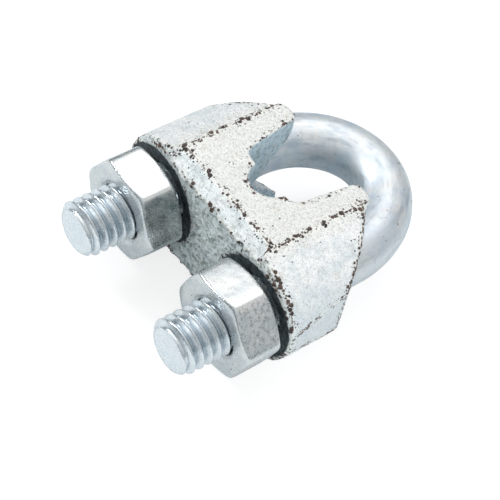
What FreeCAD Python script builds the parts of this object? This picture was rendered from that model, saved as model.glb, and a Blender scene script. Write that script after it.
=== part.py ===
import FreeCAD, Part
import math
import os

from FreeCAD import Placement, Rotation, Vector

# Wire rope clip: a threaded U-bolt, a cast saddle and two hex nuts.  Millimetres.
#
# Frame: the origin is on the axis of a rope lying in the saddle, halfway through its depth.
# X runs across the two legs, Y from the nuts towards the bow, Z along the rope.
# The clip lies on one flat side of its saddle, as it would on a bench.

# ---- driving dimensions -------------------------------------------------
SEAT_Y = -8.1            # plane of the spot-faced nut seats

THREAD_D = 6.0           # coarse metric thread on both legs
PITCH = 1.0
THREAD_GAP = 0.06        # radial shift that gives the threads their play
LEG_SPACING = 15.8       # between the two leg axes
LEG_END_Y = -18.15       # flat tip of each leg
THREAD_END_Y = -4.6      # where the thread has run out
RUNOUT = 1.0
TIP_CHAMFER = 0.55
ROD_D = 5.7              # plain bar of the bow
BOW_START_Y = 3.0        # where the legs begin to bend
BOW_HEIGHT = 9.6         # from there to the crown, on the bar's centre line

NUT_ACROSS_FLATS = 10.0
NUT_HEIGHT = 4.25
NUT_GAP = 0.9            # the nuts are run down by hand, short of their seats
NUT_CHAMFER_DEG = 20.0
NUT_FACE_D = 9.5         # flat ring left by the chamfer
NUT_MOUTH_D = 6.75       # countersink at each end of the nut's thread
LEFT_CORNER_DEG = 58.0   # angle of one corner from +X towards +Z, for each nut
RIGHT_CORNER_DEG = 69.0

SADDLE_DEPTH = 14.0      # along the rope
SADDLE_WIDTH = 27.0      # over the two bosses
FLAT_HALF_WIDTH = 7.1    # half width of the flat side faces
SEAT_SINK = 0.25         # the seats are cut this far into the nut side's face
SEAT_D = 10.5
LEG_HOLE_D = 7.4
RIM_CHAMFER = 0.4        # round the nut side
BEVEL_DEPTH = 1.65       # long bevels of the nut side, along Y
BEVEL_HEIGHT = 1.2       # and along Z
BOSS_DRAFT = 0.7         # how much narrower each boss is at its far end
BOSS_END_Y = -1.2        # where the bosses turn in towards the arm tips
BOSS_BULGE = 0.35        # of that turn, beyond a straight line
ARM_TIP_Y = 5.35
ARM_TIP_R = 1.0          # outer corner of an arm's tip
ARM_CORNER_R = 0.8       # inner corner
SLOT_HALF_FLOOR = 3.95   # half width between the arms, just above the rope seat
SLOT_HALF_MOUTH = 4.65   # and at the arm tips
SLOT_FLOOR_Y = -1.9
SLOT_FLOOR_R = 1.3
GROOVE_R = 2.25          # deeper groove along the middle of the seat
GROOVE_Y = -1.7
GROOVE_SHIFT = 0.3       # of the groove's middle at each flat side, towards opposite legs
FLARE_START_Y = 0.5      # where the leg holes begin to open out round the bow
FLARE_R = 6.3
CAST_FILLET = 0.5

FACE_Y = SEAT_Y - SEAT_SINK
HALF_DEPTH = SADDLE_DEPTH / 2
LEG_XS = (-LEG_SPACING / 2, LEG_SPACING / 2)
OVERLAP = 0.05           # keeps joined bodies from meeting edge to edge


def along_y(shape, x, y):
    """Turn a shape built along +Z about the origin to lie along +Y, starting at (x, y)."""
    turn = Placement(Vector(x, y, 0), Rotation(Vector(1, 0, 0), -90))
    shape.Placement = turn.multiply(shape.Placement)
    return shape


def revolved(points):
    """Solid of revolution about Z from a closed outline of (radius, height) points."""
    outline = Part.makePolygon([Vector(r, 0, z) for r, z in points + points[:1]])
    return Part.Face(outline).revolve(Vector(0, 0, 0), Vector(0, 0, 1), 360)


def line(start, end):
    return Part.makeLine(start, end)


def arc(start, middle, end):
    return Part.Arc(start, middle, end).toShape()


def closed_wire(edges):
    return Part.Wire(Part.__sortEdges__(edges))


# ---- thread -------------------------------------------------------------
PITCH_R = THREAD_D / 2 - 0.3248 * PITCH
BOLT_CREST_R = THREAD_D / 2 - THREAD_GAP
BOLT_ROOT_R = THREAD_D / 2 - 0.6134 * PITCH - THREAD_GAP
NUT_MINOR_R = THREAD_D / 2 - 0.5413 * PITCH + THREAD_GAP
NUT_MAJOR_R = THREAD_D / 2 + 0.04 * PITCH + THREAD_GAP


def ridge_half_width(radius, shift):
    """Half the axial width of a 60 degree thread ridge that is moved out by shift."""
    return PITCH / 4 - (radius - shift - PITCH_R) * math.tan(math.radians(30))


def helical_ridge(inner_r, outer_r, shift, first_turn, turns):
    """Right-hand thread ridge about Z.  Its height follows its angle, so ridges are in phase."""
    inner_half = ridge_half_width(inner_r, shift)
    outer_half = ridge_half_width(outer_r, shift)
    profile = Part.makePolygon([
        Vector(inner_r, 0, -inner_half), Vector(outer_r, 0, -outer_half),
        Vector(outer_r, 0, outer_half), Vector(inner_r, 0, inner_half),
        Vector(inner_r, 0, -inner_half)])
    helix = Part.makeLongHelix(PITCH, turns * PITCH, inner_r)
    ridge = Part.Wire(helix.Edges).makePipeShell([profile], True, True)
    ridge.translate(Vector(0, 0, first_turn * PITCH))
    return ridge


# ---- U-bolt -------------------------------------------------------------
def threaded_leg():
    """One leg about Z, from its tip at the origin up to the plain bar."""
    length = THREAD_END_Y - LEG_END_Y
    full_thread = length - RUNOUT
    rod_r = ROD_D / 2
    core = revolved([(0, 0), (BOLT_ROOT_R, 0), (BOLT_ROOT_R, full_thread), (rod_r, length),
                     (0, length)])
    runout_end = length - 2 * OVERLAP
    envelope = revolved([
        (0, 0), (BOLT_CREST_R - TIP_CHAMFER, 0), (BOLT_CREST_R, TIP_CHAMFER),
        (BOLT_CREST_R, full_thread), (rod_r, runout_end), (0, runout_end)])
    turns = int(length / PITCH) + 1
    ridge = helical_ridge(BOLT_ROOT_R - OVERLAP, BOLT_CREST_R + OVERLAP, -THREAD_GAP, -1, turns)
    return core.fuse(ridge.common(envelope))


def bow():
    """Plain bar: up one leg, round a half ellipse and down the other leg."""
    left, right = LEG_XS
    rod_r = ROD_D / 2
    plain = BOW_START_Y - THREAD_END_Y
    legs = [along_y(Part.makeCylinder(rod_r, plain), x, THREAD_END_Y) for x in LEG_XS]
    crown = Vector(0, BOW_START_Y + BOW_HEIGHT, 0)
    ellipse = Part.Ellipse(crown, Vector(left, BOW_START_Y, 0), Vector(0, BOW_START_Y, 0))
    spine = Part.Arc(ellipse, -math.pi / 2, math.pi / 2).toShape()
    start = Vector(spine.valueAt(spine.FirstParameter))
    section = Part.Wire(Part.makeCircle(rod_r, start, Vector(0, 1, 0)))
    arch = Part.Wire(spine).makePipeShell([section], True, True)
    return arch.fuse(legs)


def u_bolt():
    legs = [along_y(threaded_leg(), x, LEG_END_Y) for x in LEG_XS]
    return bow().fuse(legs).removeSplitter()


# ---- nuts ---------------------------------------------------------------
def nut(x, corner_deg):
    """Hex nut chamfered on both faces, in mesh with the leg at x."""
    front = SEAT_Y - NUT_GAP - NUT_HEIGHT - LEG_END_Y     # front face, from the leg's tip
    back = front + NUT_HEIGHT
    corner_r = NUT_ACROSS_FLATS / math.sqrt(3)
    corners = []
    for step in range(7):
        angle = math.radians(corner_deg + 60 * step)
        # a point's local +Y turns into -Z when the nut is laid along Y
        corners.append(Vector(corner_r * math.cos(angle), -corner_r * math.sin(angle), front))
    hexagon = Part.Face(Part.makePolygon(corners)).extrude(Vector(0, 0, NUT_HEIGHT))

    face_r = NUT_FACE_D / 2
    rise = (corner_r - face_r) * math.tan(math.radians(NUT_CHAMFER_DEG))
    turned = revolved([(0, front), (face_r, front), (corner_r, front + rise),
                       (corner_r, back - rise), (face_r, back), (0, back)])
    mouth_r = NUT_MOUTH_D / 2
    sink = mouth_r - NUT_MINOR_R
    bore = revolved([
        (0, front - 1), (mouth_r + 1, front - 1), (NUT_MINOR_R, front + sink),
        (NUT_MINOR_R, back - sink), (mouth_r + 1, back + 1), (0, back + 1)])
    first_turn = math.floor(front / PITCH) - 1
    turns = NUT_HEIGHT / PITCH + 4
    groove = helical_ridge(NUT_MINOR_R - OVERLAP, NUT_MAJOR_R, THREAD_GAP, first_turn, turns)
    return along_y(hexagon.common(turned).cut(bore).cut(groove), x, LEG_END_Y)


# ---- saddle -------------------------------------------------------------
def plan_outline():
    """Closed wire seen along Z: straight nut side, drafted bosses and rounded arm tips."""
    half_x = SADDLE_WIDTH / 2
    shoulder_x = FLAT_HALF_WIDTH + 0.2
    tip_x = shoulder_x - ARM_TIP_R
    tip_y = ARM_TIP_Y - ARM_TIP_R
    cut = math.sqrt(0.5) * ARM_TIP_R
    right = [Vector(half_x, FACE_Y, 0), Vector(half_x - BOSS_DRAFT, BOSS_END_Y, 0),
             Vector(shoulder_x, tip_y, 0), Vector(tip_x + cut, tip_y + cut, 0),
             Vector(tip_x, ARM_TIP_Y, 0)]
    bulge = (right[1] + right[2]) * 0.5 + Vector(1, 1, 0).normalize() * BOSS_BULGE
    edges = []
    for sign in (1, -1):
        points = [Vector(sign * point.x, point.y, 0) for point in right]
        edges.append(line(points[0], points[1]))
        edges.append(arc(points[1], Vector(sign * bulge.x, bulge.y, 0), points[2]))
        edges.append(arc(points[2], points[3], points[4]))
    edges.append(line(Vector(-half_x, FACE_Y, 0), right[0]))
    edges.append(line(Vector(-tip_x, ARM_TIP_Y, 0), right[4]))
    return closed_wire(edges)


def end_outline(y, inset):
    """Closed wire seen along Y: flat top and bottom, and two arcs each way round each boss."""
    half_x = SADDLE_WIDTH / 2
    quarter = [(FLAT_HALF_WIDTH, HALF_DEPTH), (9.6, 6.15), (11.6, 4.85), (13.0, 2.6), (half_x, 0)]
    shrink_x = 1 - inset / half_x
    shrink_z = 1 - inset / HALF_DEPTH
    edges = []
    for side_z in (-1, 1):
        for side_x in (-1, 1):
            points = [Vector(side_x * shrink_x * x, y, side_z * shrink_z * z) for x, z in quarter]
            edges.append(arc(points[0], points[1], points[2]))
            edges.append(arc(points[2], points[3], points[4]))
        edges.append(line(Vector(-points[0].x, y, points[0].z), points[0]))
    return closed_wire(edges)


def is_turning_edge(edge):
    """True for the curved edges where a boss turns in towards its arm's tip."""
    middle = edge.valueAt((edge.FirstParameter + edge.LastParameter) / 2)
    on_boss = abs(middle.x) > FLAT_HALF_WIDTH + 0.3 and abs(middle.z) < HALF_DEPTH - 0.1
    return on_boss and middle.y > BOSS_END_Y + 0.5


def saddle_block():
    """Outer shape: the plan extruded along Z, crossed with the end view extruded along Y."""
    plan = Part.Face(plan_outline()).extrude(Vector(0, 0, SADDLE_DEPTH))
    plan.translate(Vector(0, 0, -HALF_DEPTH))
    full_y = FACE_Y + RIM_CHAMFER
    rim = Part.makeLoft([end_outline(FACE_Y, RIM_CHAMFER), end_outline(full_y, 0)], True, True)
    rest = Part.Face(end_outline(full_y, 0)).extrude(Vector(0, ARM_TIP_Y - FACE_Y, 0))
    block = plan.common(rest).fuse(plan.common(rim)).removeSplitter()
    return block.makeFillet(CAST_FILLET, [edge for edge in block.Edges if is_turning_edge(edge)])


def long_bevel(side):
    """Wedge that bevels the nut side along one flat side face, between the bosses."""
    z = side * HALF_DEPTH
    inner_z = z - side * BEVEL_HEIGHT
    outer_z = z + side
    section = Part.makePolygon([
        Vector(-FLAT_HALF_WIDTH, FACE_Y, inner_z), Vector(-FLAT_HALF_WIDTH, FACE_Y + BEVEL_DEPTH, z),
        Vector(-FLAT_HALF_WIDTH, FACE_Y + BEVEL_DEPTH, outer_z),
        Vector(-FLAT_HALF_WIDTH, FACE_Y - 1, outer_z), Vector(-FLAT_HALF_WIDTH, FACE_Y - 1, inner_z),
        Vector(-FLAT_HALF_WIDTH, FACE_Y, inner_z)])
    return Part.Face(section).extrude(Vector(2 * FLAT_HALF_WIDTH, 0, 0))


def slot_outline():
    """Closed wire of the space between the arms, seen along Z."""
    mouth_y = ARM_TIP_Y - ARM_CORNER_R
    above = ARM_TIP_Y + 1
    flare_x = SLOT_HALF_MOUTH + ARM_CORNER_R
    cut = 1 - math.sqrt(0.5)
    floor_cut = cut * SLOT_FLOOR_R
    mouth_cut = cut * ARM_CORNER_R
    right = [Vector(SLOT_HALF_FLOOR - SLOT_FLOOR_R, SLOT_FLOOR_Y, 0),
             Vector(SLOT_HALF_FLOOR - floor_cut, SLOT_FLOOR_Y + floor_cut, 0),
             Vector(SLOT_HALF_FLOOR, SLOT_FLOOR_Y + SLOT_FLOOR_R, 0),
             Vector(SLOT_HALF_MOUTH, mouth_y, 0),
             Vector(SLOT_HALF_MOUTH + mouth_cut, ARM_TIP_Y - mouth_cut, 0),
             Vector(flare_x, ARM_TIP_Y, 0), Vector(flare_x, above, 0)]
    edges = [line(Vector(-right[0].x, SLOT_FLOOR_Y, 0), right[0]),
             line(Vector(-flare_x, above, 0), right[6])]
    for sign in (-1, 1):
        wall = [Vector(sign * point.x, point.y, 0) for point in right]
        edges.append(arc(wall[0], wall[1], wall[2]))
        edges.append(line(wall[2], wall[3]))
        edges.append(arc(wall[3], wall[4], wall[5]))
        edges.append(line(wall[5], wall[6]))
    return closed_wire(edges)


def rope_slot():
    """Space between the arms, and the slightly oblique groove along the rope seat below it."""
    slot = Part.Face(slot_outline()).extrude(Vector(0, 0, SADDLE_DEPTH + 2))
    slot.translate(Vector(0, 0, -HALF_DEPTH - 1))
    start = Vector(-GROOVE_SHIFT, GROOVE_Y, -HALF_DEPTH)
    reach = Vector(2 * GROOVE_SHIFT, 0, SADDLE_DEPTH)
    groove = Part.makeCylinder(GROOVE_R, 1.4 * reach.Length, start - reach * 0.2, reach)
    return slot.fuse(groove)


def leg_hole(x):
    """Hole for one leg, which opens out round the bow, with the nut's spot-faced seat."""
    hole_r = LEG_HOLE_D / 2
    start = FLARE_START_Y - SEAT_Y
    end = ARM_TIP_Y + 1 - SEAT_Y
    middle = (start + end) / 2

    def flared(height):
        rise = height - start
        return Vector(hole_r + FLARE_R - math.sqrt(FLARE_R ** 2 - rise ** 2), 0, height)

    outline = closed_wire([
        line(Vector(0, 0, 0), Vector(hole_r, 0, 0)), line(Vector(hole_r, 0, 0), flared(start)),
        arc(flared(start), flared(middle), flared(end)), line(flared(end), Vector(0, 0, end)),
        line(Vector(0, 0, end), Vector(0, 0, 0))])
    hole = Part.Face(outline).revolve(Vector(0, 0, 0), Vector(0, 0, 1), 360)
    seat = Part.makeCylinder(SEAT_D / 2, 2, Vector(0, 0, -2))
    return along_y(hole.fuse(seat), x, SEAT_Y)


def saddle():
    cuts = [long_bevel(1), long_bevel(-1), rope_slot()] + [leg_hole(x) for x in LEG_XS]
    body = saddle_block()
    for piece in cuts:
        body = body.cut(piece)
    return body.removeSplitter()


def main():
    left, right = LEG_XS
    parts = {
        "u_bolt": u_bolt(),
        "saddle": saddle(),
        "nut_left": nut(left, LEFT_CORNER_DEG),
        "nut_right": nut(right, RIGHT_CORNER_DEG),
    }
    os.makedirs("parts", exist_ok=True)
    for name, shape in parts.items():
        solids = shape.Solids
        print(f"{name}: {len(solids)} solid, valid {shape.isValid()}, {shape.Volume:.1f} mm3")
        solids[0].exportStep(f"parts/{name}.step")


main()
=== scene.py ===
import math

import bmesh
import bpy
import numpy as np
from mathutils import Matrix, Vector, kdtree, noise


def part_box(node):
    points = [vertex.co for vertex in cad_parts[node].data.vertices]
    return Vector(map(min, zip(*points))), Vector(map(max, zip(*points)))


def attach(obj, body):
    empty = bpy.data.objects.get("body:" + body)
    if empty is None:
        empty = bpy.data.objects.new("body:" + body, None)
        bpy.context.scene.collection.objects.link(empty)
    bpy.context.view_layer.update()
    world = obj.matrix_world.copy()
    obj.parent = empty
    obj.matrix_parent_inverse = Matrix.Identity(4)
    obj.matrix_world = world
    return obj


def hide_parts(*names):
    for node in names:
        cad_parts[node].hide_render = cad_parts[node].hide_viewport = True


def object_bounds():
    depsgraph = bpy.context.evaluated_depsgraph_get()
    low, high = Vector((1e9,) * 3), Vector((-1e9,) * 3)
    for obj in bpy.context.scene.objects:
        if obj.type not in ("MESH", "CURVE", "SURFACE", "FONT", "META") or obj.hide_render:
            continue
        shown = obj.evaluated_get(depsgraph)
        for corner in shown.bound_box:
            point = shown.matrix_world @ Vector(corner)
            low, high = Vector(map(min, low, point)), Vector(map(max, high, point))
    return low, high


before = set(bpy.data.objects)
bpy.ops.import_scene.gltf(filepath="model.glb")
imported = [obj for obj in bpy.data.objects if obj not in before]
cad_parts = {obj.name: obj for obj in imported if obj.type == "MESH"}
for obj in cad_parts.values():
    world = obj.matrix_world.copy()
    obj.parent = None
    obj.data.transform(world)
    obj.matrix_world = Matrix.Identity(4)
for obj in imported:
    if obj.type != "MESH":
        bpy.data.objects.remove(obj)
cad_low, cad_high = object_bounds()

# Wire rope clip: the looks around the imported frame.  The frame and every Blender object are in
# metres; the named sizes below are in millimetres and are turned into metres with MM.
MM = 0.001

# ---- driving values -------------------------------------------------------
PITCH = 1.0 * MM                 # of both legs' threads and of the nuts
THREAD_R = 3.0 * MM              # nominal
THREAD_GAP = 0.06 * MM           # radial shift that gives the threads their play
THREAD_LENGTH = 13.55 * MM       # from a leg's tip to the plain bar
RUNOUT = 1.0 * MM
ROOT_BLEND = 0.07 * MM           # how softly the flanks turn into the roots and the crests
CREST_BLEND = 0.06 * MM
NUT_THREAD_BLEND = 0.1 * MM
NICK_DEPTH = 0.015 * MM          # of small nicks in the legs' crests
TIP_CHAMFER = 0.55 * MM
TIP_BLEND = 0.15 * MM
TIP_DISH = 0.05 * MM             # the shears leave each tip slightly hollow
TIP_LUMPS = 0.02 * MM
ROD_R = 2.85 * MM
BAR_WAVE = 0.025 * MM            # slow unevenness of the plain bar
BEND_START_Y = 3.0 * MM          # where the legs begin to bend
STREAK_RATIO = 5.0               # length over width of the marks drawing left on the bar

NUT_ACROSS_FLATS = 10.0 * MM
NUT_FACE_R = 4.75 * MM           # flat ring left by the nut's chamfer
NUT_MOUTH_R = 3.375 * MM
NUT_CORNERS = {"nut_left": math.radians(58), "nut_right": math.radians(69)}
NUT_SHARPNESS = 20               # of the corners: a higher number rounds them less
NUT_ROUNDING = 10                # smoothing rounds along the nut's outline
NUT_DENTS = 0.016 * MM
CHAMFER_SLOPE = math.tan(math.radians(20))

SHARP_ANGLE = math.radians(11)   # an edge of the saddle that turns more than this wears
EDGE_WIDTH = 0.28 * MM           # of the worn line along those edges
WEAR_WIDTH = 1.1 * MM            # how far the worn specks spread from them
SLOT_HALF_WIDTH = 5.3 * MM       # the space between the arms
SEAT_FLOOR_Y = -4.2 * MM
SEAT_Y = -8.1 * MM               # spot faces under the nuts
SEAT_R = 5.35 * MM
LUMP_HEIGHT = 0.050 * MM         # relief of the cast skin, coarse and fine
LUMP_SIZE = 0.65 * MM
GRAIN_HEIGHT = 0.020 * MM
GRAIN_SIZE = 0.26 * MM
NUT_SIDE_HEIGHT = 0.32 * MM      # extra relief of the rougher nut side
NUT_SIDE_SIZE = 0.9 * MM
CHIP_DEPTH = 0.07 * MM           # chips along the edges
CHIP_SIZE = 0.45 * MM
RIM_HEIGHT = 0.05 * MM           # raised rim where the flat sides meet the edges

# mesh fineness
CASTING_VOXEL = 0.15 * MM
CASTING_SMOOTHING = 4            # rounds that take the steps out of the voxels
AROUND_BAR = 128
AROUND_NUT = 216
THREAD_STEP = PITCH / 16
PLAIN_ROWS = 24                  # along each leg's plain part, and round the bend
BEND_ROWS = 121
TIP_RINGS = 12
NUT_SIDE_ROWS = 36               # rows along each stretch of the nut's outline
NUT_CHAMFER_ROWS = 10
NUT_FACE_ROWS = 14
NUT_MOUTH_ROWS = 8
BORE_STRETCH = 4                 # which stretch of that outline is the bore

PITCH_R = THREAD_R - 0.3248 * PITCH
BOLT_CREST_R = THREAD_R - THREAD_GAP
BOLT_ROOT_R = THREAD_R - 0.6134 * PITCH - THREAD_GAP
NUT_MINOR_R = THREAD_R - 0.5413 * PITCH + THREAD_GAP
NUT_MAJOR_R = THREAD_R + 0.04 * PITCH + THREAD_GAP

bolt_low, bolt_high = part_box("u_bolt")
LEG_END_Y = bolt_low.y
THREAD_END_Y = LEG_END_Y + THREAD_LENGTH
LEG_X = bolt_high.x - BOLT_CREST_R
CROWN_Y = bolt_high.y - ROD_R    # of the bar's centre line


# ---- mesh helpers ---------------------------------------------------------
def new_piece(name, points, faces, body):
    """A smooth-shaded mesh that rides on a body and stands for the CAD node of that name."""
    mesh = bpy.data.meshes.new(name)
    mesh.from_pydata([tuple(p) for p in points], [], [tuple(int(i) for i in f) for f in faces])
    mesh.validate()
    mesh.shade_smooth()
    piece = bpy.data.objects.new(name, mesh)
    bpy.context.scene.collection.objects.link(piece)
    settle(piece, body)
    return piece


def settle(piece, body):
    """Let a piece ride on its body in place of the body's CAD node."""
    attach(piece, body)
    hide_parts(body)


def grid_faces(rows, columns, closed_rows):
    """Outward quads of a grid of points whose columns close into a ring, and rows may too."""
    faces = []
    for i in range(rows if closed_rows else rows - 1):
        after = (i + 1) % rows
        for j in range(columns):
            beside = (j + 1) % columns
            faces.append((after * columns + j, after * columns + beside,
                          i * columns + beside, i * columns + j))
    return faces


def soft_min(a, b, blend):
    """The smaller of a and b, with a round hand-over about as wide as blend."""
    share = np.clip(0.5 + 0.5 * (b - a) / blend, 0, 1)
    return b * (1 - share) + a * share - blend * share * (1 - share)


def soft_max(a, b, blend):
    return -soft_min(-a, -b, blend)


def lumps(points, size, octaves=3):
    """Fractal noise, about -1 to 1, with features of that size."""
    return np.array([noise.fractal(Vector(p) / size, 0.9, 2.1, octaves) for p in points])


def vertex_arrays(mesh):
    """Places and normals of a mesh's points."""
    points = np.empty(len(mesh.vertices) * 3)
    mesh.vertices.foreach_get("co", points)
    normals = np.empty(len(mesh.vertices) * 3)
    mesh.vertex_normals.foreach_get("vector", normals)
    return points.reshape(-1, 3), normals.reshape(-1, 3)


def set_points(mesh, points):
    mesh.vertices.foreach_set("co", np.asarray(points, np.float32).ravel())
    mesh.update()


def relax(mesh, points, rounds):
    """Move each point halfway to the mean of its neighbours, rounds times."""
    ends = np.empty(len(mesh.edges) * 2, np.int64)
    mesh.edges.foreach_get("vertices", ends)
    first, second = ends.reshape(-1, 2).T
    count = len(points)
    degree = np.bincount(first, minlength=count) + np.bincount(second, minlength=count)
    for _ in range(rounds):
        total = np.stack([
            np.bincount(first, weights=column[second], minlength=count)
            + np.bincount(second, weights=column[first], minlength=count)
            for column in points.T], axis=1)
        points = points + 0.5 * (total / degree[:, None] - points)
    return points


def write_attribute(mesh, name, values):
    attribute = mesh.attributes.new(name, "FLOAT", "POINT")
    attribute.data.foreach_set("value", np.asarray(values, np.float32).ravel())


def write_vectors(mesh, name, values):
    attribute = mesh.attributes.new(name, "FLOAT_VECTOR", "POINT")
    attribute.data.foreach_set("vector", np.asarray(values, np.float32).ravel())


# ---- thread ---------------------------------------------------------------
def ridge_distance(y, x, z, leg_x):
    """Distance along Y from a point to the middle of the nearest thread ridge on a leg."""
    turn = np.arctan2(-z, x - leg_x) / (2 * math.pi)
    phase = (y - LEG_END_Y) / PITCH - turn
    return np.abs(phase - np.round(phase)) * PITCH


def flank_radius(distance, shift):
    """Radius of a 60 degree thread flank at that distance from the ridge's middle."""
    return PITCH_R + shift + (PITCH / 4 - distance) / math.tan(math.radians(30))


# ---- U-bolt ---------------------------------------------------------------
def bar_radius(points, centre_y):
    """Radius of the bar at each point, threaded below the plain part of each leg."""
    x, y, z = points.T
    leg_x = np.where(x < 0, -LEG_X, LEG_X)
    along = centre_y - LEG_END_Y
    fade = np.clip((along - THREAD_LENGTH + RUNOUT) / RUNOUT, 0, 1)
    core = BOLT_ROOT_R + (ROD_R - BOLT_ROOT_R) * fade
    crest = BOLT_CREST_R + (ROD_R - BOLT_CREST_R) * fade
    nick = NICK_DEPTH * np.clip(lumps(points, 0.8 * MM), 0, 1)
    flank = flank_radius(ridge_distance(y, x, z, leg_x), -THREAD_GAP)
    thread = soft_min(soft_max(flank, core, ROOT_BLEND), crest - nick, CREST_BLEND)
    thread = soft_min(thread, BOLT_CREST_R - TIP_CHAMFER + along, TIP_BLEND)
    return np.where(along < THREAD_LENGTH, thread, ROD_R)


def bar_stations():
    """Points and directions along the bar's centre line, from the left tip to the right one."""
    thread_rows = int(THREAD_LENGTH / THREAD_STEP)
    leg = np.concatenate([
        np.linspace(LEG_END_Y, THREAD_END_Y, thread_rows, endpoint=False),
        np.linspace(THREAD_END_Y, BEND_START_Y, PLAIN_ROWS, endpoint=False)])
    rise = CROWN_Y - BEND_START_Y
    stations = [(-LEG_X, y, 0, 1) for y in leg]
    for angle in np.linspace(0, math.pi, BEND_ROWS):
        along = np.array([LEG_X * math.sin(angle), rise * math.cos(angle)])
        along /= np.linalg.norm(along)
        stations.append((-LEG_X * math.cos(angle), BEND_START_Y + rise * math.sin(angle), *along))
    stations += [(LEG_X, y, 0, -1) for y in leg[::-1]]
    return np.array(stations)


def close_end(points, faces, first, flip):
    """Close a leg's tip with rings that shrink to its middle, slightly dished by the shears."""
    ring = np.array(points[first:first + AROUND_BAR])
    middle = ring.mean(axis=0)
    before = list(range(first, first + AROUND_BAR))
    for step in range(1, TIP_RINGS):
        scale = 1 - step / TIP_RINGS
        new = middle + (ring - middle) * scale
        dish = TIP_DISH * (1 - scale ** 2) * min(step / 3, 1)
        new[:, 1] += dish + TIP_LUMPS * lumps(new, 1.1 * MM)
        after = list(range(len(points), len(points) + AROUND_BAR))
        points.extend(new)
        for j in range(AROUND_BAR):
            k = (j + 1) % AROUND_BAR
            face = (before[j], before[k], after[k], after[j])
            faces.append(face[::-1] if flip else face)
        before = after
    points.append(middle + np.array([0, TIP_DISH, 0]))
    tip = len(points) - 1
    for j in range(AROUND_BAR):
        face = (before[j], before[(j + 1) % AROUND_BAR], tip)
        faces.append(face[::-1] if flip else face)


def mark_bar(mesh, points, stations, angle, radius):
    """Attributes for the bar's material: thread roots, threaded part and drawing direction."""
    centre_y = np.repeat(stations[:, 1], AROUND_BAR)
    skin = slice(0, len(radius))
    threaded = np.ones(len(points))
    threaded[skin] = centre_y < THREAD_END_Y - RUNOUT
    write_attribute(mesh, "threaded", threaded)

    depth = (BOLT_CREST_R - radius) / (BOLT_CREST_R - BOLT_ROOT_R) * threaded[skin]
    root = np.zeros(len(points))
    root[skin] = np.clip(depth, 0, 1) * (centre_y > LEG_END_Y + TIP_CHAMFER)
    write_attribute(mesh, "root", root)

    steps = np.linalg.norm(np.diff(stations[:, :2], axis=0), axis=1)
    length = np.repeat(np.concatenate([[0], np.cumsum(steps)]), AROUND_BAR)
    drawn = np.array(points)
    drawn[skin] = np.column_stack([
        length / STREAK_RATIO, ROD_R * np.cos(angle), ROD_R * np.sin(angle)])
    write_vectors(mesh, "drawn", drawn)


def make_u_bolt():
    """The whole bar as one skin, with real threads and closed tips."""
    stations = bar_stations()
    rows = len(stations)
    centre = np.repeat(stations[:, :2], AROUND_BAR, axis=0)
    tangent = np.repeat(stations[:, 2:], AROUND_BAR, axis=0)
    angle = np.tile(np.linspace(0, 2 * math.pi, AROUND_BAR, endpoint=False), rows)
    inward = np.column_stack([tangent[:, 1], -tangent[:, 0], np.zeros(len(angle))])
    upward = np.array([0, 0, 1.0])
    spoke = np.cos(angle)[:, None] * inward + np.sin(angle)[:, None] * upward
    middle = np.column_stack([centre, np.zeros(len(angle))])
    radius = bar_radius(middle + ROD_R * spoke, centre[:, 1])
    skin = middle + radius[:, None] * spoke
    plain = np.clip((skin[:, 1] - THREAD_END_Y) / (1 * MM), 0, 1)
    skin += (BAR_WAVE * plain * lumps(skin, 4 * MM, 2))[:, None] * spoke

    points = list(skin)
    faces = grid_faces(rows, AROUND_BAR, False)
    close_end(points, faces, 0, False)
    close_end(points, faces, (rows - 1) * AROUND_BAR, True)
    piece = new_piece("u_bolt_bar", points, faces, "u_bolt")
    mark_bar(piece.data, points, stations, angle, radius)
    return piece


# ---- nuts -----------------------------------------------------------------
def hexagon_radius(angle, corner):
    """Distance from the axis to a hexagon with rounded corners."""
    total = np.zeros_like(angle)
    for side in range(6):
        facing = np.cos(angle - corner - math.radians(30 + 60 * side))
        total += np.clip(facing, 0, None) ** NUT_SHARPNESS
    return NUT_ACROSS_FLATS / 2 * total ** (-1 / NUT_SHARPNESS)


def nut_outline(outer, half):
    """Radius and height above the nut's middle of its skin, outside first, then the bore."""
    ones = np.ones_like(outer)
    chamfered = half - (outer - NUT_FACE_R) * CHAMFER_SLOPE
    sunk = half - (NUT_MOUTH_R - NUT_MINOR_R)
    bore_rows = int(2 * sunk / THREAD_STEP)
    # radius and height of each corner, and the rows from there to the next one
    corners = [
        (outer, -chamfered, NUT_SIDE_ROWS), (outer, chamfered, NUT_CHAMFER_ROWS),
        (NUT_FACE_R * ones, half * ones, NUT_FACE_ROWS),
        (NUT_MOUTH_R * ones, half * ones, NUT_MOUTH_ROWS),
        (NUT_MINOR_R * ones, sunk * ones, bore_rows),
        (NUT_MINOR_R * ones, -sunk * ones, NUT_MOUTH_ROWS),
        (NUT_MOUTH_R * ones, -half * ones, NUT_FACE_ROWS),
        (NUT_FACE_R * ones, -half * ones, NUT_CHAMFER_ROWS)]
    radius, height, in_bore = [], [], []
    for i, (start_r, start_h, rows) in enumerate(corners):
        end_r, end_h, _ = corners[(i + 1) % len(corners)]
        for step in range(rows):
            share = step / rows
            radius.append(start_r * (1 - share) + end_r * share)
            height.append(start_h * (1 - share) + end_h * share)
            in_bore.append(i == BORE_STRETCH)
    radius, height = np.array(radius), np.array(height)
    hold = np.array(in_bore)[:, None]
    for _ in range(NUT_ROUNDING):
        for field in (radius, height):
            near = (np.roll(field, 1, axis=0) + np.roll(field, -1, axis=0)) / 2
            field += np.where(hold, 0, 0.5 * (near - field))
    return radius, height


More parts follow.
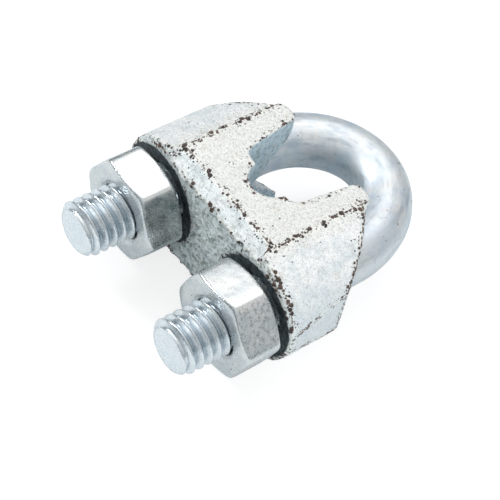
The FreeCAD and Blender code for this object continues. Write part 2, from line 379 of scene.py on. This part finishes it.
def mark_nut(mesh, node, points, normals, outside):
    """Attributes for the nut's material: one facet was sheared rough, and on one nut it carries a
    painted dark reflection that fades towards the bottom.
    """
    facet = NUT_CORNERS[node] - math.radians(30)
    facing = normals @ np.array([math.cos(facet), 0, math.sin(facet)])
    sheared = np.clip((facing - 0.93) / 0.05, 0, 1) * outside
    write_attribute(mesh, "sheared", sheared)
    # painted dark reflection on the left nut's sheared facet, fading towards the bottom
    shade = np.clip(points[:, 2] / (3.2 * MM), 0.35, 1)
    write_attribute(mesh, "painted_dark_reflection", sheared * shade * (node == "nut_left"))


def make_nut(node):
    """A hex nut with a thread that meshes with its leg's."""
    low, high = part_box(node)
    leg_x = -LEG_X if node == "nut_left" else LEG_X
    angle = np.linspace(0, 2 * math.pi, AROUND_NUT, endpoint=False)
    outer = hexagon_radius(angle, NUT_CORNERS[node])
    radius, height = nut_outline(outer, (high.y - low.y) / 2)
    x = leg_x + radius * np.cos(angle)
    y = (low.y + high.y) / 2 + height
    z = radius * np.sin(angle)
    groove = flank_radius(ridge_distance(y, x, z, leg_x), THREAD_GAP)
    groove = soft_max(groove, NUT_MINOR_R, NUT_THREAD_BLEND)
    groove = soft_min(groove, NUT_MAJOR_R, NUT_THREAD_BLEND)
    radius = np.maximum(radius, groove)
    points = np.column_stack([
        (leg_x + radius * np.cos(angle)).ravel(), y.ravel(), (radius * np.sin(angle)).ravel()])
    faces = grid_faces(len(radius), AROUND_NUT, True)
    piece = new_piece(node + "_body", points, faces, node)

    points, normals = vertex_arrays(piece.data)
    outside = np.clip((radius.ravel() - NUT_MOUTH_R) / (0.4 * MM), 0, 1)
    dents = NUT_DENTS * lumps(points, 1.1 * MM) * outside
    set_points(piece.data, points + normals * dents[:, None])
    mark_nut(piece.data, node, points, normals, outside)
    return piece


# ---- saddle ---------------------------------------------------------------
def edge_distance(node, points):
    """Distance from each point to the nearest sharp edge of a CAD node."""
    solid = bmesh.new()
    solid.from_mesh(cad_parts[node].data)
    bmesh.ops.remove_doubles(solid, verts=solid.verts, dist=0.001 * MM)
    marks = []
    for edge in solid.edges:
        if len(edge.link_faces) == 2 and edge.calc_face_angle() > SHARP_ANGLE:
            start, end = edge.verts[0].co, edge.verts[1].co
            steps = int((end - start).length / (0.1 * MM)) + 1
            marks.extend(start.lerp(end, step / steps) for step in range(steps + 1))
    solid.free()
    tree = kdtree.KDTree(len(marks))
    for i, mark in enumerate(marks):
        tree.insert(mark, i)
    tree.balance()
    return np.array([tree.find(point)[2] for point in points])


def remeshed(node, name, voxel):
    """An evenly meshed copy of a CAD node."""
    copy = bpy.data.objects.new(name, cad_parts[node].data.copy())
    copy.data.materials.clear()
    bpy.context.scene.collection.objects.link(copy)
    modifier = copy.modifiers.new("even", "REMESH")
    modifier.mode = "VOXEL"
    modifier.voxel_size = voxel
    modifier.adaptivity = 0
    bpy.context.view_layer.update()
    evaluated = copy.evaluated_get(bpy.context.evaluated_depsgraph_get())
    mesh = bpy.data.meshes.new_from_object(evaluated)
    copy.modifiers.clear()
    copy.data = mesh
    mesh.shade_smooth()
    return copy


def leg_distance(points):
    """Distance from each point to the axis of the leg on its side."""
    return np.hypot(np.abs(points[:, 0]) - LEG_X, points[:, 2])


def casting_masks(points, normals):
    """What the casting's relief and material need to know at each point, from 0 to 1."""
    x, y, _ = points.T
    from_edge = edge_distance("saddle", points)
    upward = np.abs(normals[:, 2])
    return {
        "edge": np.clip(1 - from_edge / EDGE_WIDTH, 0, 1),
        "wear": np.clip(1 - from_edge / WEAR_WIDTH, 0, 1),
        "upward": upward,
        "side_face": np.clip((upward - 0.93) / 0.05, 0, 1),
        "nut_side": np.clip((-normals[:, 1] - 0.5) / 0.3, 0, 1),
        "between_arms": (np.abs(x) < SLOT_HALF_WIDTH) & (y > SEAT_FLOOR_Y) & (upward < 0.6),
        "spot_face": (leg_distance(points) < SEAT_R) & (y < SEAT_Y + 0.1 * MM),
    }


def casting_relief(points, masks):
    """Height of the cast skin above the CAD surface."""
    side_face, nut_side, edge = masks["side_face"], masks["nut_side"], masks["edge"]
    coarse = 1.0 - 0.15 * side_face + 0.9 * nut_side - 0.5 * masks["between_arms"]
    height = LUMP_HEIGHT * coarse * lumps(points, LUMP_SIZE)
    height += GRAIN_HEIGHT * lumps(points, GRAIN_SIZE)
    off_seat = np.clip((leg_distance(points) - SEAT_R) / (1 * MM), 0, 1)
    height += NUT_SIDE_HEIGHT * nut_side * off_seat * lumps(points, NUT_SIDE_SIZE)
    height *= 1 - 0.8 * masks["spot_face"]
    height -= CHIP_DEPTH * edge * np.clip(lumps(points, CHIP_SIZE, 2) * 2.2 - 0.15, 0, 1)
    height += RIM_HEIGHT * np.clip(edge * 1.5, 0, 1) * side_face
    return height


def make_saddle():
    """The saddle's CAD shape with the relief of a rough casting."""
    piece = remeshed("saddle", "saddle_casting", CASTING_VOXEL)
    mesh = piece.data
    stepped, _ = vertex_arrays(mesh)
    set_points(mesh, relax(mesh, stepped, CASTING_SMOOTHING))
    points, normals = vertex_arrays(mesh)
    masks = casting_masks(points, normals)
    height = casting_relief(points, masks)
    set_points(mesh, points + normals * height[:, None])
    for name, values in masks.items():
        write_attribute(mesh, name, values)
    settle(piece, "saddle")
    return piece


# ---- materials ------------------------------------------------------------
def colour(red, green, blue):
    return (red, green, blue, 1.0)


class Tree:
    """A material's node tree, with short calls for what these materials use."""

    def __init__(self, name):
        self.material = bpy.data.materials.new(name)
        self.material.use_nodes = True
        self.tree = self.material.node_tree
        self.shader = self.tree.nodes["Principled BSDF"]
        self.place = self.add("ShaderNodeTexCoord").outputs["Object"]
        self.base = None

    def add(self, kind, **inputs):
        made = self.tree.nodes.new(kind)
        for name, value in inputs.items():
            self.plug(made, name.replace("_", " "), value)
        return made

    def plug(self, target, socket, value):
        if isinstance(value, bpy.types.NodeSocket):
            self.tree.links.new(value, target.inputs[socket])
        else:
            target.inputs[socket].default_value = value

    def noise(self, size, detail=3.0, roughness=0.55, place=None):
        made = self.add("ShaderNodeTexNoise", Vector=place or self.place, Scale=1 / size,
                        Detail=detail, Roughness=roughness)
        return made.outputs["Fac"]

    def spots(self, size, amount, warp=0.35):
        """Mask of irregular round spots; amount (0 to 1) sets how many and how big."""
        shake = self.add("ShaderNodeTexNoise", Vector=self.place, Scale=2.2 / size, Detail=2.0)
        shaken = self.tree.nodes.new("ShaderNodeVectorMath")
        shaken.operation = "MULTIPLY_ADD"
        self.plug(shaken, 0, shake.outputs["Color"])
        self.plug(shaken, 1, (warp * size,) * 3)
        self.plug(shaken, 2, self.place)
        cell = self.add("ShaderNodeTexVoronoi", Vector=shaken.outputs[0], Scale=1 / size)
        chance = self.tree.nodes.new("ShaderNodeSeparateColor")
        self.plug(chance, 0, cell.outputs["Color"])
        reach = self.math("SUBTRACT", self.math("ADD", amount, chance.outputs[0]), 1.0, True)
        radius = self.times(self.math("POWER", reach, 0.6), 0.6)
        return self.ramp(self.math("SUBTRACT", radius, cell.outputs["Distance"]), -0.03, 0.07)

    def ramp(self, value, low, high, low_out=0.0, high_out=1.0):
        """Smooth step from low_out where value is low to high_out where it is high."""
        made = self.add("ShaderNodeMapRange")
        made.interpolation_type = "SMOOTHSTEP"
        for name, number in (("Value", value), ("From Min", low), ("From Max", high),
                             ("To Min", low_out), ("To Max", high_out)):
            self.plug(made, name, number)
        return made.outputs["Result"]

    def math(self, operation, first, second, clamp=False):
        made = self.tree.nodes.new("ShaderNodeMath")
        made.operation = operation
        made.use_clamp = clamp
        self.plug(made, 0, first)
        self.plug(made, 1, second)
        return made.outputs[0]

    def times(self, first, second):
        return self.math("MULTIPLY", first, second)

    def mix(self, share, first, second):
        made = self.tree.nodes.new("ShaderNodeMix")
        made.data_type = "RGBA"
        self.plug(made, 0, share)
        self.plug(made, 6, first)
        self.plug(made, 7, second)
        return made.outputs[2]

    def tint(self, share, paint):
        """Lay paint over the base colour, as far as share says."""
        self.base = self.mix(share, self.base, paint)

    def attribute(self, name, output="Fac"):
        made = self.add("ShaderNodeAttribute")
        made.attribute_name = name
        return made.outputs[output]

    def bump(self, height, depth, strength=1.0, under=None):
        made = self.add("ShaderNodeBump", Height=height, Distance=depth, Strength=strength)
        if under is not None:
            self.plug(made, "Normal", under)
        return made.outputs["Normal"]

    def finish(self, metallic, roughness, normal):
        self.plug(self.shader, "Base Color", self.base)
        self.plug(self.shader, "Metallic", metallic)
        self.plug(self.shader, "Roughness", roughness)
        self.plug(self.shader, "Normal", normal)
        return self.material


def casting_specks(t, edge, between_arms):
    """Worn specks: dense and large along the edges, few and small elsewhere."""
    patches = t.ramp(t.noise(1.5 * MM, 2.0), 0.36, 0.58, 0.62, 1.15)
    near = t.times(t.math("POWER", t.attribute("wear"), 1.5), patches)
    near = t.times(near, t.ramp(between_arms, 0.0, 1.0, 1.0, 0.3))
    large = t.spots(0.55 * MM, t.times(near, 1.15))
    small = t.spots(0.27 * MM, t.times(near, 1.1))
    strays = t.spots(0.36 * MM, t.ramp(t.noise(2.2 * MM), 0.50, 0.68, 0.05, 0.42))
    cracks = t.times(t.ramp(edge, 0.55, 0.85), t.ramp(t.noise(0.7 * MM, 2.0), 0.50, 0.58))
    return t.math("MAXIMUM", t.math("MAXIMUM", large, small), t.math("MAXIMUM", strays, cracks))


def casting_material():
    """Zinc over a rough casting, with rusty specks, and painted shadow in the spot faces under the
    nuts.
    """
    t = Tree("zinc_casting")
    edge, side_face = t.attribute("edge"), t.attribute("side_face")
    nut_side, between_arms = t.attribute("nut_side"), t.attribute("between_arms")
    grain = t.noise(0.13 * MM, 3.0, 0.7)
    pits = t.noise(0.28 * MM, 3.0, 0.6)
    scars = t.ramp(t.noise(0.55 * MM, 4.0, 0.65), 0.38, 0.53, 0.9, 0.0)

    # zinc: bluish on the bosses, darker there as painted shade, creamy on the flat sides
    t.base = t.mix(t.ramp(t.attribute("upward"), 0.35, 0.75), colour(0.76, 0.80, 0.815),
                   colour(0.94, 0.95, 0.95))
    t.tint(t.ramp(t.noise(1.6 * MM, 4.0), 0.42, 0.66, 0.0, 0.6), colour(0.68, 0.76, 0.80))
    t.tint(t.times(side_face, 0.85), colour(0.89, 0.88, 0.84))
    # a greener tone on the nut side, also darker as painted shade where it faces away from the
    # lights
    t.tint(t.times(nut_side, 0.75), colour(0.66, 0.73, 0.73))
    t.tint(t.times(nut_side, scars), colour(0.22, 0.26, 0.25))
    # painted shade in the slot between the arms, where the rope goes: its walls are darkened to
    # blue-grey
    t.tint(t.times(between_arms, 0.85), colour(0.55, 0.70, 0.78))
    t.tint(t.times(between_arms, scars), colour(0.30, 0.38, 0.42))
    t.tint(t.ramp(t.noise(0.8 * MM, 3.0), 0.56, 0.74, 0.0, 0.45), colour(0.72, 0.66, 0.56))

    # dirt in the grain and in the pits, bare bright edges
    rough = t.ramp(between_arms, 0.0, 1.0, 1.0, 0.35)
    t.tint(t.times(t.ramp(grain, 0.36, 0.54, 0.40, 0.0), rough), colour(0.25, 0.29, 0.30))
    open_faces = t.ramp(t.math("ADD", side_face, nut_side), 0.0, 0.6, 0.50, 0.75)
    dirt = t.times(t.ramp(pits, 0.32, 0.50, 0.5, 0.0), t.times(rough, open_faces))
    t.tint(dirt, colour(0.22, 0.24, 0.24))
    t.tint(t.times(edge, 0.5), colour(0.95, 0.92, 0.84))

    speck = casting_specks(t, edge, between_arms)
    rust = t.mix(t.ramp(t.noise(0.4 * MM), 0.4, 0.62), colour(0.035, 0.029, 0.027),
                 colour(0.12, 0.075, 0.058))
    t.tint(speck, rust)
    # painted shadow: the spot faces under the nuts are painted near black, patchy
    seat_shadow_paint = t.mix(t.ramp(t.noise(0.5 * MM, 2.0), 0.4, 0.6), colour(0.035, 0.045, 0.05),
                colour(0.10, 0.13, 0.15))
    t.tint(t.attribute("spot_face"), seat_shadow_paint)

    roughness = t.math("ADD", t.ramp(grain, 0.3, 0.7, 0.32, 0.52), t.times(speck, 0.25))
    normal = t.bump(pits, 0.20 * MM, 0.9)
    normal = t.bump(grain, 0.05 * MM, 1.0, normal)
    normal = t.bump(t.ramp(speck, 0.0, 1.0, 1.0, 0.0), 0.05 * MM, 1.0, normal)
    return t.finish(t.ramp(speck, 0.0, 1.0, 0.30, 0.05), roughness, normal)


def bar_material():
    """Bright zinc on drawn bar: clouds, drawing streaks, a few specks, clean threads with painted
    shade in their roots.
    """
    t = Tree("zinc_bar")
    fine = t.noise(0.20 * MM, 3.0)
    drawn = t.attribute("drawn", "Vector")
    streaks = t.noise(0.9 * MM, 4.0, 0.6, drawn)
    threaded = t.attribute("threaded")
    spots = t.spots(0.50 * MM, t.ramp(t.noise(2.6 * MM), 0.48, 0.66, 0.05, 0.42))

    t.base = t.mix(t.ramp(t.noise(2.4 * MM, 4.0), 0.35, 0.7), colour(0.82, 0.85, 0.86),
                   colour(0.66, 0.73, 0.80))
    t.tint(t.ramp(t.noise(3.0 * MM), 0.52, 0.70, 0.0, 0.55), colour(0.78, 0.73, 0.70))
    t.tint(t.ramp(t.noise(0.7 * MM, 4.0), 0.52, 0.72, 0.0, 0.5), colour(0.60, 0.64, 0.68))
    t.tint(t.ramp(streaks, 0.52, 0.68, 0.0, 0.65), colour(0.44, 0.52, 0.58))
    thin_streaks = t.noise(0.35 * MM, 3.0, 0.6, drawn)
    t.tint(t.ramp(thin_streaks, 0.54, 0.70, 0.0, 0.4), colour(0.50, 0.52, 0.54))
    t.tint(t.times(spots, 0.75), colour(0.20, 0.15, 0.13))
    t.tint(t.times(threaded, 0.6), colour(0.87, 0.91, 0.93))
    # painted shade in the thread roots
    t.tint(t.ramp(t.attribute("root"), 0.5, 1.0, 0.0, 0.6), colour(0.22, 0.31, 0.39))

    roughness = t.math("SUBTRACT", t.ramp(fine, 0.3, 0.7, 0.43, 0.57), t.times(threaded, 0.20))
    normal = t.bump(t.noise(1.6 * MM, 3.0), 0.06 * MM, 0.5)
    normal = t.bump(streaks, 0.03 * MM, 0.6, normal)
    normal = t.bump(fine, 0.004 * MM, 0.3, normal)
    return t.finish(t.ramp(spots, 0.0, 1.0, 0.95, 0.3), roughness, normal)


def nut_material():
    """Satin zinc with fine grain; rougher marks on the sheared facets, and on the left nut's a
    patchy painted dark reflection.
    """
    t = Tree("zinc_nut")
    fine = t.noise(0.13 * MM, 3.0, 0.7)
    marks = t.ramp(t.noise(0.36 * MM, 5.0, 0.75), 0.38, 0.52, 0.65, 0.0)
    clouds = t.ramp(t.noise(1.8 * MM, 4.0), 0.34, 0.64, 1.0, 0.45)
    spots = t.spots(0.42 * MM, t.ramp(t.noise(2.5 * MM), 0.50, 0.68, 0.03, 0.32))

    t.base = t.mix(t.ramp(t.noise(1.5 * MM, 3.0), 0.35, 0.7), colour(0.77, 0.78, 0.77),
                   colour(0.66, 0.70, 0.72))
    t.tint(t.ramp(fine, 0.34, 0.52, 0.4, 0.0), colour(0.46, 0.48, 0.49))
    t.tint(t.times(t.attribute("sheared"), marks), colour(0.25, 0.26, 0.26))
    # painted dark reflection, patchy, on the left nut's sheared facet
    t.tint(t.times(t.attribute("painted_dark_reflection"), clouds), colour(0.13, 0.17, 0.175))
    t.tint(spots, colour(0.14, 0.08, 0.06))

    normal = t.bump(t.noise(0.8 * MM, 3.0), 0.03 * MM, 0.4)
    normal = t.bump(fine, 0.018 * MM, 0.45, normal)
    metallic = t.ramp(spots, 0.0, 1.0, 0.9, 0.2)
    return t.finish(metallic, t.ramp(fine, 0.3, 0.7, 0.16, 0.34), normal)


def dress(piece, material):
    piece.data.materials.clear()
    piece.data.materials.append(material)


# ---- stage ----------------------------------------------------------------
FLOOR_HALF = 2.0                 # metres
FLOOR_GAP = 0.02 * MM            # keeps the floor just clear of the clip
FLOOR_GLOW = 0.76                # seen by the camera only, so that the floor stays pale
SKY_LEAN = (0.20, 0.30, 1.0)     # the sky is brightest overhead, behind and to the right
SKY_STRENGTH = 0.72


def make_floor():
    """Plain pale floor under the clip's flat side; reflections see it darken with distance."""
    half = FLOOR_HALF
    z = cad_low.z - FLOOR_GAP
    mesh = bpy.data.meshes.new("floor")
    corners = [(-half, -half, z), (half, -half, z), (half, half, z), (-half, half, z)]
    mesh.from_pydata(corners, [], [(0, 1, 2, 3)])
    floor = bpy.data.objects.new("floor", mesh)
    bpy.context.scene.collection.objects.link(floor)
    t = Tree("floor_white")
    away = t.add("ShaderNodeVectorMath", Vector=t.place)
    away.operation = "LENGTH"
    seen = t.add("ShaderNodeLightPath").outputs["Is Camera Ray"]
    far = t.ramp(away.outputs["Value"], 60 * MM, 160 * MM)
    far = t.times(far, t.math("SUBTRACT", 1.0, seen))
    near = t.mix(seen, colour(0.70, 0.74, 0.76), colour(0.30, 0.30, 0.30))
    t.plug(t.shader, "Base Color", t.mix(far, near, colour(0.12, 0.15, 0.17)))
    t.plug(t.shader, "Emission Color", colour(1.0, 1.0, 1.0))
    t.plug(t.shader, "Emission Strength", t.times(seen, FLOOR_GLOW))
    t.plug(t.shader, "Roughness", 0.9)
    t.plug(t.shader, "Specular IOR Level", 0.0)
    dress(floor, t.material)


def make_world():
    """White overhead, falling to a blue-grey that is dimmest in front and to the left."""
    world = bpy.data.worlds.new("studio")
    bpy.context.scene.world = world
    world.use_nodes = True
    nodes, links = world.node_tree.nodes, world.node_tree.links
    lean = nodes.new("ShaderNodeVectorMath")
    lean.operation = "DOT_PRODUCT"
    links.new(nodes.new("ShaderNodeTexCoord").outputs["Generated"], lean.inputs[0])
    lean.inputs[1].default_value = SKY_LEAN
    ramp = nodes.new("ShaderNodeValToRGB")
    links.new(lean.outputs["Value"], ramp.inputs[0])
    stops = ramp.color_ramp.elements
    stops[0].position, stops[0].color = 0.0, colour(0.16, 0.20, 0.22)
    stops[1].position, stops[1].color = 0.75, colour(1.0, 1.0, 1.0)
    stops.new(0.3).color = colour(0.46, 0.53, 0.57)
    pick = nodes.new("ShaderNodeMix")
    pick.data_type = "RGBA"
    links.new(nodes.new("ShaderNodeLightPath").outputs["Is Camera Ray"], pick.inputs[0])
    links.new(ramp.outputs[0], pick.inputs[6])
    pick.inputs[7].default_value = colour(1.0, 1.0, 1.0)
    sky = nodes["Background"]
    links.new(pick.outputs[2], sky.inputs["Color"])
    sky.inputs["Strength"].default_value = SKY_STRENGTH


def soft_box(name, offset, size, power, mirrored=True):
    """Square light facing the clip's middle; one that isn't mirrored lights only matt surfaces."""
    middle = (cad_low + cad_high) / 2
    light = bpy.data.lights.new(name, "AREA")
    light.shape = "SQUARE"
    light.size = size
    light.energy = power
    lamp = bpy.data.objects.new(name, light)
    lamp.location = middle + Vector(offset)
    lamp.rotation_euler = (-Vector(offset)).to_track_quat("-Z", "Y").to_euler()
    lamp.visible_glossy = mirrored
    bpy.context.scene.collection.objects.link(lamp)


def make_lights():
    soft_box("overhead", (-0.08, 0.10, 0.26), size=0.26, power=0.22)
    soft_box("key", (-0.21, -0.12, 0.18), size=0.06, power=0.34)
    soft_box("right_fill", (0.28, 0.0, 0.09), size=0.28, power=0.62, mirrored=False)
    soft_box("front_fill", (-0.05, -0.28, 0.02), size=0.24, power=0.50, mirrored=False)


# the camera looks at the clip from above its right leg, and is rolled a little
CAMERA_AZIMUTH = math.radians(42.5)
CAMERA_ELEVATION = math.radians(51.69)
CAMERA_ROLL = math.radians(13.99)
CAMERA_DISTANCE = 150.88 * MM
CAMERA_LENS = 112.65
AIM_FROM_MIDDLE = Vector((2.886, -3.744, 0.823)) * MM


def make_camera():
    back = Vector((math.sin(CAMERA_AZIMUTH) * math.cos(CAMERA_ELEVATION),
                   -math.cos(CAMERA_AZIMUTH) * math.cos(CAMERA_ELEVATION),
                   math.sin(CAMERA_ELEVATION)))
    level = Vector((math.cos(CAMERA_AZIMUTH), math.sin(CAMERA_AZIMUTH), 0))
    right = level * math.cos(CAMERA_ROLL) + back.cross(level) * math.sin(CAMERA_ROLL)
    up = back.cross(right)
    aim = (cad_low + cad_high) / 2 + AIM_FROM_MIDDLE
    data = bpy.data.cameras.new("camera")
    data.lens = CAMERA_LENS
    data.sensor_width = 36.0
    data.clip_start = 0.005
    data.clip_end = 10.0
    camera = bpy.data.objects.new("camera", data)
    bpy.context.scene.collection.objects.link(camera)
    turn = Matrix((right, up, back)).transposed().to_4x4()
    camera.matrix_world = Matrix.Translation(aim + back * CAMERA_DISTANCE) @ turn
    bpy.context.scene.camera = camera


def main():
    dress(make_u_bolt(), bar_material())
    nuts = nut_material()
    for node in ("nut_left", "nut_right"):
        dress(make_nut(node), nuts)
    dress(make_saddle(), casting_material())
    make_floor()
    make_world()
    make_lights()
    make_camera()
    bpy.context.scene.view_settings.view_transform = "Standard"


main()
